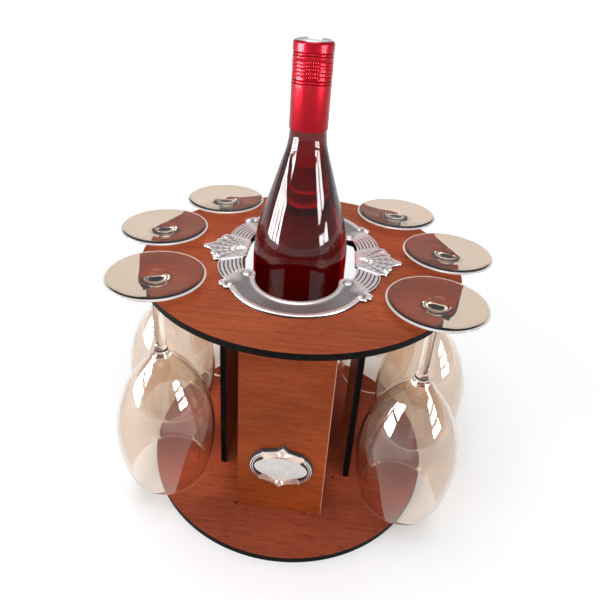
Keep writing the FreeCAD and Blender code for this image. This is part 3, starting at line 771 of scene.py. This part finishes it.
PLATE_SHARP = 50
PLATE_SPACING = 0.8
PLATE_EDGE = -0.15
PLATE_CLEAR = 1.5
PLATE_RIMS = ((0.45, 0.32, 0.40), (0.95, 0.30, 0.88))
SILVER_DARK = -0.58
SILVER_BRIGHT = 0.02
FLUTE_TOP = ((48.5, 14.5), (67.0, 23.0))
FLUTE_FOOT = ((43.5, 36.0), (55.5, 54.5))
FLUTE_CURVE = 45
FLUTE_COUNT = 6
FLUTE_STEPS = 24
FLUTE_PROFILE = (
    (0.04, 0.30), (0.22, 0.34), (0.31, 0.05), (0.38, -0.75), (0.50, -0.85), (0.62, -0.75),
    (0.69, 0.05), (0.78, 0.34), (0.96, 0.30),
)
BAR_STEPS = 30
BAR_PROFILE = (
    (-0.03, 0.0), (0.0, 0.45), (0.03, 0.5), (0.06, -0.2),
    (0.94, -0.2), (0.97, 0.5), (1.0, 0.45), (1.03, 0.0),
)
OPENING_REACH = 76.3
OPENING_END = 33.3
NOTCH_RADIUS = 2.6
BAND_REACH = 96
BAND_RADIUS = 56
BAND_STEPS = 48
BAND_PROFILE = (
    (0.05, 0.35), (0.11, 0.42), (0.16, 0.30), (0.19, -0.35), (0.30, -0.40), (0.45, -0.40),
    (0.60, -0.40), (0.74, -0.40), (0.80, -0.35), (0.83, 0.22), (0.90, 0.35), (0.96, 0.2),
)
SCROLL_RADIUS = 4.2
SCROLL_X = 49.9
SCROLL_Y = BAND_REACH - BAND_RADIUS + math.sqrt(BAND_RADIUS ** 2 - SCROLL_X ** 2)
SCROLLS = (
    ((40.6, 42.4), 3.4, 0.75, 4.0),
    ((56.6, 59.8), 3.1, 0.8, 3.8),
    ((50.0, 60.6), 2.4, 0.6, 3.0),
)
BEADS = ((70.6, 17.6), (83.2, 0.001))
BEAD_RADIUS = 1.9
BEAD_HEIGHT = 0.6
BOSS_SINK = 0.45
LEAF_X = 50.5
LEAF_SPREAD = 66
LEAF_LOBES = 9
LEAF_STEPS = 36
LEAF_RINGS = 26
CLEAR_OF_FLUTES = 34


def plate_corners():
    """The corners of a quarter of the plate, on its outer and its inner edge."""
    inner_top, outer_top = FLUTE_TOP
    inner_foot, (foot_x, foot_y) = FLUTE_FOOT
    outer = [
        (86, 0, 3, "right"), (83, 3, 16, "left"), (76.5, 9.5, 3.6, "right"), (73, 15, 3.6, "right"),
        (73, 20.5, 3.6, "right"), (*outer_top, FLUTE_CURVE, "right"),
        (foot_x, foot_y, SCROLL_RADIUS, "right"),
        (foot_x + SCROLL_RADIUS, foot_y + SCROLL_RADIUS, SCROLL_RADIUS, "right"),
        (foot_x, foot_y + 2 * SCROLL_RADIUS, 3.4, "right"),
        (SCROLL_X, SCROLL_Y, BAND_RADIUS, "right"), (0, BAND_REACH),
    ]
    notch_x, notch_y = inner_top[0] - 1, inner_top[1]
    inner = [
        (0, OPENING_REACH, OPENING_END, "left"),
        (OPENING_END, OPENING_REACH - OPENING_END, 7, "right"),
        (*inner_foot, FLUTE_CURVE, "left"), (notch_x, notch_y, NOTCH_RADIUS, "right"),
        (notch_x, notch_y * 2 / 3, NOTCH_RADIUS, "right"),
        (notch_x, notch_y / 3, NOTCH_RADIUS, "right"), (notch_x, 0),
    ]
    return outer, inner


def quarter_edge(corners):
    """An open edge through the corners of one quarter."""
    points = path(corners, PLATE_SPACING)
    last = corners[-1][:2]
    cut = max(index for index, point in enumerate(points) if point == last)
    return points[:cut + 1]


def all_round(edge):
    """A quarter's edge from the x axis to the y axis, mirrored into a closed loop."""
    left = [(-x, y) for x, y in reversed(edge[:-1])]
    half = edge + left
    return half + [(x, -y) for x, y in reversed(half[1:-1])]


def plate_loops():
    """The plate's outline and its opening."""
    outer, inner = plate_corners()
    return [all_round(quarter_edge(outer)), all_round(quarter_edge(inner)[::-1])]


def band_place(share, along):
    """A place on the fluted band, across it and down along it."""
    start = lerp(*FLUTE_TOP, share)
    finish = lerp(*FLUTE_FOOT, share)
    chord = (finish[0] - start[0], finish[1] - start[1])
    length = math.hypot(*chord)
    bulge = FLUTE_CURVE - math.sqrt(FLUTE_CURVE ** 2 - length ** 2 / 4)
    x, y = lerp(start, finish, along)
    rise = bulge * 4 * along * (1 - along)
    return x + chord[1] / length * rise, y - chord[0] / length * rise


def fluted_points():
    """Ridges and grooves of a fluted band, with a rolled bar across each end."""
    points = []
    for flute in range(FLUTE_COUNT):
        for share, height in FLUTE_PROFILE:
            across = (flute + share) / FLUTE_COUNT
            for step in range(FLUTE_STEPS + 1):
                along = 0.09 + 0.82 * step / FLUTE_STEPS
                points.append((*band_place(across, along), height if 0 < step < FLUTE_STEPS else 0.1))
    for along, height in BAR_PROFILE:
        for step in range(BAR_STEPS + 1):
            points.append((*band_place(0.02 + 0.96 * step / BAR_STEPS, along), height))
    return points


def arc_band_points():
    """The smooth band round the end of the opening, sunk between two polished rims."""
    points = []
    near_centre = (0, OPENING_REACH - OPENING_END)
    far_centre = (0, BAND_REACH - BAND_RADIUS)
    near_side = arc(near_centre, OPENING_END, 90, 6, BAND_STEPS)
    far_side = arc(far_centre, BAND_RADIUS, 90, 28, BAND_STEPS)
    for near, far in zip(near_side, far_side):
        points += [(*lerp(near, far, share), height) for share, height in BAND_PROFILE]
    return points


def boss_points(centre, radius, height, rings=4):
    """A round boss with a sunken ring about it."""
    points = [(*centre, height)]
    for ring in range(1, rings + 1):
        share = ring / rings
        level = height * math.sqrt(1 - share ** 2) - (BOSS_SINK if ring == rings else 0)
        count = max(8, round(5 * ring * radius / rings))
        for index in range(count):
            angle = 2 * math.pi * index / count
            across, along = radius * share * math.cos(angle), radius * share * math.sin(angle)
            points.append((centre[0] + across, centre[1] + along, level))
    return points


def leaf_points():
    """The spread leaves of a capital, fanning out towards the tip."""
    points = []
    for step in range(LEAF_STEPS + 1):
        angle = math.radians(LEAF_SPREAD * step / LEAF_STEPS)
        lobe = abs(math.cos(angle * LEAF_LOBES))
        for ring in range(LEAF_RINGS):
            radius = 3.0 + 1.15 * ring
            x, y = LEAF_X + radius * math.cos(angle), radius * math.sin(angle)
            frill = 0.5 + 0.5 * math.cos(radius * 1.15 + 3 * abs(math.sin(angle * LEAF_LOBES)))
            points.append((x, y, -0.60 + 0.90 * lobe ** 0.6 * (0.45 + 0.55 * frill)))
    return points


def beyond(line, place):
    """How far a place lies left of a line, times the line's length."""
    start, finish = line
    across, along = place[0] - start[0], place[1] - start[1]
    return (finish[0] - start[0]) * along - (finish[1] - start[1]) * across


def plate_points(loops):
    """The worked face of the whole plate, out of its quarters."""
    quarter = fluted_points()
    for centre, radius, height, _ in SCROLLS:
        quarter += boss_points(centre, radius, height)
    for centre in BEADS:
        quarter += boss_points(centre, BEAD_RADIUS, BEAD_HEIGHT, 3)
    quarter += [
        point for point in leaf_points()
        if beyond(FLUTE_TOP, point) < -CLEAR_OF_FLUTES and point[1] >= 0
    ]
    for point in arc_band_points():
        clear = all(math.dist(point[:2], centre) > reach for centre, _, _, reach in SCROLLS)
        if clear and beyond(FLUTE_FOOT, point) > CLEAR_OF_FLUTES:
            quarter.append(point)
    whole = []
    for x, y, height in kept_inside(quarter, loops, PLATE_CLEAR):
        for side in (1, -1):
            for end in (1, -1):
                if (x < 1e-6 and side < 0) or (y < 1e-6 and end < 0):
                    continue
                whole.append((x * side, y * end, height))
    for rim in PLATE_RIMS:
        whole += rim_points(loops, *rim)
    return whole


def plate_silver():
    """Polished silvery metal that is darker where the work is deep."""
    paint = Paint("plate_silver")
    paint.set(Metallic=0.72, Coat_Weight=0.4, Coat_Roughness=0.12)
    low, high = (PLATE_TOP + SILVER_DARK) * MM, (PLATE_TOP + SILVER_BRIGHT) * MM
    rise = paint.span(paint.along("Z"), low, high)
    clouds = paint.noise(38.0, 4.0, 0.6)
    shine = paint.ramp(clouds, (0.35, (0.92, 0.87, 0.86)), (0.68, (0.90, 0.77, 0.76)))
    grain = paint.noise(300.0, 4.0, 0.6)
    paint.feed(
        Base_Color=paint.mix(rise, (0.06, 0.05, 0.045), shine),
        Roughness=paint.span(grain, 0.3, 0.7, 0.26, 0.34),
    )
    paint.bump(clouds, 0.05, 0.0002)
    return paint.material


def make_plate():
    """The pierced silver plate with its worked face."""
    loops = plate_loops()
    shape = bmesh.new()

    def put(x, y, height):
        return (x * MM, y * MM, (PLATE_TOP + height) * MM)

    relief(shape, loops, plate_points(loops), PLATE_EDGE, put, TOP_SURFACE - PLATE_TOP)
    new_piece("engraved_plate", shape, PLATE_SHARP, "ornamental_plate", "silver_plate", plate_silver())


# Badge on the front panel

BADGE_SHARP = 40
BADGE_TILT = 3
BADGE_HEIGHT = 62
BADGE_OVAL = (22.6, 11.3)
BADGE_CORNER = (18.2, 13.7)
BADGE_BULGE = 8.2
BADGE_SPACING = 0.5
BADGE_EDGE = -0.1
BADGE_BACK = -1.0
BADGE_CLEAR = 1.1
BADGE_RIM = (0.5, 0.12, 0.42)
DOME = ((0.25, 0.2), (0.5, 0.18), (0.75, 0.14), (0.93, 0.05), (0.97, -0.12), (1.03, -0.15))
DOME_TOP = 0.2
ENAMEL_EDGE = 0.12
END_LINES = ((0.8, 0.1), (1.7, -0.15), (2.4, 0.1))
FRAME_WIDTH = 0.9
LOBE_RADIUS = 2.2
CREST_WIDTH = 4.5
CREST_FOOT = 19.0
CREST_TIP = 23.4
END_MIDDLE = 5
LEAF_FOOT = 13.6
BLADE_TURN = 21


def badge_loop():
    """The outline of the badge's face, seen from the front."""
    corner_x, corner_y = BADGE_CORNER
    end = ((corner_y ** 2 + BADGE_BULGE ** 2) / (2 * BADGE_BULGE), "right")
    lobe = (LOBE_RADIUS, "right")
    lobe_x, lobe_y = corner_x - 3.2, corner_y + 2.2
    return path([
        (corner_x, -corner_y, *end), (corner_x, corner_y, *lobe), (lobe_x, lobe_y),
        (CREST_WIDTH, CREST_FOOT), (0, CREST_TIP), (-CREST_WIDTH, CREST_FOOT), (-lobe_x, lobe_y, *lobe),
        (-corner_x, corner_y, *end), (-corner_x, -corner_y, *lobe), (-lobe_x, -lobe_y),
        (-CREST_WIDTH, -CREST_FOOT), (0, -CREST_TIP), (CREST_WIDTH, -CREST_FOOT),
        (lobe_x, -lobe_y, *lobe),
    ], BADGE_SPACING)


def ellipse(half_width, half_height, height, count=96):
    """Points round an ellipse, the first one again at the end."""
    points = []
    for index in range(count + 1):
        angle = 2 * math.pi * (index % count) / count
        points.append((half_width * math.cos(angle), half_height * math.sin(angle), height))
    return points


def end_lines(loop, inset, height):
    """A line at one distance inside each rounded end of the badge."""
    lines = []
    corner_x, corner_y = BADGE_CORNER
    for side in (1, -1):
        middle = side * END_MIDDLE
        line = []
        for x, y in loop:
            if side * x < corner_x or abs(y) > corner_y - 0.5:
                continue
            length = math.hypot(x - middle, y)
            line.append((x - (x - middle) / length * inset, y - y / length * inset, height))
        line.sort(key=lambda point: point[1])
        if len(line) > 3:
            lines.append(line)
    return lines


def badge_part(x, y, depth):
    """Which finish a place on the badge has: enamel, silver, dark line or copper."""
    if (x / BADGE_OVAL[0]) ** 2 + (y / BADGE_OVAL[1]) ** 2 < 1:
        return 0
    corner_x, corner_y = BADGE_CORNER
    if abs(x) > corner_x - 2.2 and abs(y) < corner_y - 1.2:
        outer, middle, inner = (line[0] for line in END_LINES)
        return 1 if depth < outer or middle < depth < inner else 2
    return 1 if depth < FRAME_WIDTH else 3


def crest_leaf(sign):
    """A small spread leaf at the middle of a crest, as raised blades with gaps between."""
    points = []
    for blade in range(-3, 4):
        lean = math.radians(blade * BLADE_TURN)
        gap_lean = math.radians((blade + 0.5) * BLADE_TURN)
        length = 5.4 - 0.55 * abs(blade)
        for step in range(1, 7):
            reach = length * step / 6
            rise = LEAF_FOOT + reach * math.cos(lean) * 0.95
            points.append((reach * math.sin(lean), sign * rise, 0.42))
            if blade < 3:
                rise = LEAF_FOOT + reach * math.cos(gap_lean) * 0.95
                points.append((reach * math.sin(gap_lean), sign * rise, -0.38))
    return points


def badge_enamel():
    """Pale glossy enamel with faint clouds."""
    paint = Paint("badge_enamel")
    paint.set(Coat_Weight=1.0, Coat_Roughness=0.06)
    tone = paint.ramp(paint.noise(60.0, 3.0), (0.3, (0.68, 0.66, 0.64)), (0.7, (0.76, 0.74, 0.72)))
    paint.feed(Base_Color=tone, Roughness=paint.span(paint.noise(200.0), 0.3, 0.7, 0.20, 0.32))
    return paint.material


def make_badge():
    """The tilted badge: a domed enamel oval in a silver and copper frame."""
    loop = badge_loop()
    oval_x, oval_y = BADGE_OVAL
    creases = [ellipse(oval_x, oval_y, ENAMEL_EDGE)]
    for inset, height in END_LINES:
        creases += end_lines(loop, inset, height)
    points = [(0, 0, DOME_TOP)]
    for share, height in DOME:
        points += ellipse(oval_x * share, oval_y * share, height, 64)[:-1]
    points += crest_leaf(1) + crest_leaf(-1)
    points = kept_inside(points, [loop], BADGE_CLEAR) + rim_points([loop], *BADGE_RIM)
    tilt = math.radians(BADGE_TILT)
    shape = bmesh.new()

    def put(x, y, height):
        across = x * math.cos(tilt) + y * math.sin(tilt)
        up = -x * math.sin(tilt) + y * math.cos(tilt)
        return (across * MM, (BADGE_FRONT - height) * MM, (BADGE_HEIGHT + up) * MM)

    relief(shape, [loop], points, BADGE_EDGE, put, BADGE_BACK, creases, badge_part)
    finishes = [
        badge_enamel(),
        bare_metal("badge_silver", (0.86, 0.82, 0.80), 0.18, 0.32, 0.6),
        bare_metal("badge_dark_line", (0.060, 0.012, 0.014), 0.25, 0.4, 0.2),
        bare_metal("badge_copper", (0.84, 0.66, 0.56), 0.2, 0.36, 0.6),
    ]
    new_piece("worked_badge", shape, BADGE_SHARP, "badge_face", "badge_face", *finishes)


def backing_material():
    """Near-black board with fine fibres, for the badge's backing."""
    paint = Paint("badge_backing_board")
    fibres = paint.noise(240.0, 4.0, 0.6, 0.0, (1, 3, 1))
    paint.feed(
        Base_Color=paint.ramp(fibres, (0.3, (0.006, 0.005, 0.005)), (0.7, (0.022, 0.016, 0.014))),
        Roughness=paint.span(fibres, 0.3, 0.7, 0.5, 0.7),
    )
    paint.bump(fibres, 0.2, 0.0003)
    return paint.material


make_plate()
make_badge()
finish_cad("badge_backing", backing_material())

# Floor and world, in metres

FLOOR_HALF = 3.0
NEAR_GLOW = 0.14
GLOW_START = 0.4
GLOW_FULL = 1.6
SKY_COLOUR = (0.86, 0.88, 0.92, 1)
SKY_STRENGTH = 0.50
LOW_SKY_START = 0.05
LOW_SKY_END = 0.30


def seen_directly(tree, light_path):
    """1 for rays from the camera, off metal and through glass, and 0 for all others."""
    result = light_path.outputs["Is Camera Ray"]
    for name in ("Is Glossy Ray", "Is Transmission Ray"):
        result = math_node(tree, "MAXIMUM", result, light_path.outputs[name])
    return result


def make_floor():
    """White paper whose own glow is seen but lights nothing, and is faint near the stand."""
    corners = [(-1, -1), (1, -1), (1, 1), (-1, 1)]
    mesh = bpy.data.meshes.new("floor")
    mesh.from_pydata([(x * FLOOR_HALF, y * FLOOR_HALF, 0) for x, y in corners], [], [(0, 1, 2, 3)])
    floor = bpy.data.objects.new("floor", mesh)
    bpy.context.scene.collection.objects.link(floor)
    paint = Paint("floor_paper")
    paint.set(Roughness=0.9, Specular_IOR_Level=0.1)
    tone = paint.ramp(paint.noise(3.0), (0.3, (0.90, 0.90, 0.90)), (0.7, (0.92, 0.92, 0.92)))
    paint.feed(Base_Color=tone)
    seen = seen_directly(paint.tree, paint.tree.nodes.new("ShaderNodeLightPath"))
    level = paint.span(paint.distance_to((0, 0, 0)), GLOW_START, GLOW_FULL, NEAR_GLOW, 1.0)
    glow = paint.tree.nodes.new("ShaderNodeEmission")
    total = paint.tree.nodes.new("ShaderNodeAddShader")
    paint.link(math_node(paint.tree, "MULTIPLY", seen, level), glow.inputs["Strength"])
    paint.link(paint.shader.outputs["BSDF"], total.inputs[0])
    paint.link(glow.outputs["Emission"], total.inputs[1])
    paint.link(total.outputs["Shader"], paint.output.inputs["Surface"])
    mesh.materials.append(paint.material)


def make_world():
    """A dim sky that lights the stand, and a white backdrop that lights nothing.

    The camera sees the backdrop everywhere, metal and glass only low over the floor.
    """
    world = bpy.data.worlds.new("studio")
    bpy.context.scene.world = world
    world.use_nodes = True
    tree = world.node_tree
    sky = tree.nodes["Background"]
    set_inputs(sky, Color=SKY_COLOUR, Strength=SKY_STRENGTH)
    white = tree.nodes.new("ShaderNodeBackground")
    set_inputs(white, Color=(1, 1, 1, 1))
    light_path = tree.nodes.new("ShaderNodeLightPath")
    heading = tree.nodes.new("ShaderNodeTexCoord").outputs["Generated"]
    low_sky = map_range(tree, parts_of(tree, heading)["Z"], LOW_SKY_START, LOW_SKY_END, 1.0, 0.0)
    reflected = math_node(tree, "MULTIPLY", seen_directly(tree, light_path), low_sky)
    backdrop = math_node(tree, "MAXIMUM", reflected, light_path.outputs["Is Camera Ray"])
    choice = tree.nodes.new("ShaderNodeMixShader")
    tree.links.new(backdrop, choice.inputs["Fac"])
    tree.links.new(sky.outputs[0], choice.inputs[1])
    tree.links.new(white.outputs[0], choice.inputs[2])
    tree.links.new(choice.outputs[0], tree.nodes["World Output"].inputs["Surface"])


make_floor()
make_world()

# Lights, in metres

AIM = Vector((0, 0, 0.2))


def area_light(name, place, target, size, power):
    """A rectangular light turned towards a target."""
    data = bpy.data.lights.new(name, "AREA")
    data.shape = "RECTANGLE"
    data.size, data.size_y = size
    data.energy = power
    light = bpy.data.objects.new(name, data)
    bpy.context.scene.collection.objects.link(light)
    light.location = place
    light.rotation_euler = (target - Vector(place)).to_track_quat("-Z", "Y").to_euler()
    return light


def window(name, place, size, columns, rows, gap, brightness):
    """Lit panes that face the stand and show only in the glass and the metal."""
    middle = Vector(place)
    to_stand = AIM - middle
    turned = to_stand.to_track_quat("-Z", "Y")
    pane = ((size[0] - gap * (columns - 1)) / columns, (size[1] - gap * (rows - 1)) / rows)
    for column in range(columns):
        for row in range(rows):
            across = (column - (columns - 1) / 2) * (pane[0] + gap)
            upward = (row - (rows - 1) / 2) * (pane[1] + gap)
            spot = middle + turned @ Vector((across, upward, 0))
            pane_name = f"{name}_{column}{row}"
            light = area_light(pane_name, spot, spot + to_stand, pane, brightness * pane[0] * pane[1])
            light.visible_diffuse = False


window("window_left", (-1.30, -0.46, 0.50), (0.96, 0.88), 4, 2, 0.080, 210)
window("window_right", (1.20, -0.62, 0.50), (0.60, 0.72), 2, 3, 0.070, 140)
area_light("overhead", (-0.2, -0.3, 2.2), AIM, (1.6, 1.6), 27)
front_fill = area_light("front_fill", (0.3, -2.0, 0.9), AIM, (1.6, 1.0), 11)
front_fill.visible_glossy = False

# Camera, fitted to the photograph

CAMERA_PLACE = Vector((23.1, -412.4, 437.1)) * MM
VIEW = Vector((-0.0653, 0.8808, -0.4689)).normalized()
ROLL = math.radians(3.467)
FOCAL_PIXELS = 540.825
FRAME_PIXELS = 600
AXIS_PIXEL = (292.92, 255.18)
SENSOR_WIDTH = 36


def make_camera():
    """The camera, with its roll and its shifted axis."""
    level_right = VIEW.cross(Vector((0, 0, 1))).normalized()
    level_up = level_right.cross(VIEW)
    right = math.cos(ROLL) * level_right + math.sin(ROLL) * level_up
    up = -math.sin(ROLL) * level_right + math.cos(ROLL) * level_up
    data = bpy.data.cameras.new("camera")
    data.sensor_width = SENSOR_WIDTH
    data.lens = FOCAL_PIXELS * SENSOR_WIDTH / FRAME_PIXELS
    data.shift_x = (FRAME_PIXELS / 2 - AXIS_PIXEL[0]) / FRAME_PIXELS
    data.shift_y = (AXIS_PIXEL[1] - FRAME_PIXELS / 2) / FRAME_PIXELS
    data.clip_start = 0.01
    camera = bpy.data.objects.new("camera", data)
    bpy.context.scene.collection.objects.link(camera)
    axes = Matrix((right, up, -VIEW)).transposed().to_4x4()
    camera.matrix_world = Matrix.Translation(CAMERA_PLACE) @ axes
    bpy.context.scene.camera = camera


make_camera()
bpy.context.scene.view_settings.view_transform = "Standard"

bpy.context.view_layer.update()
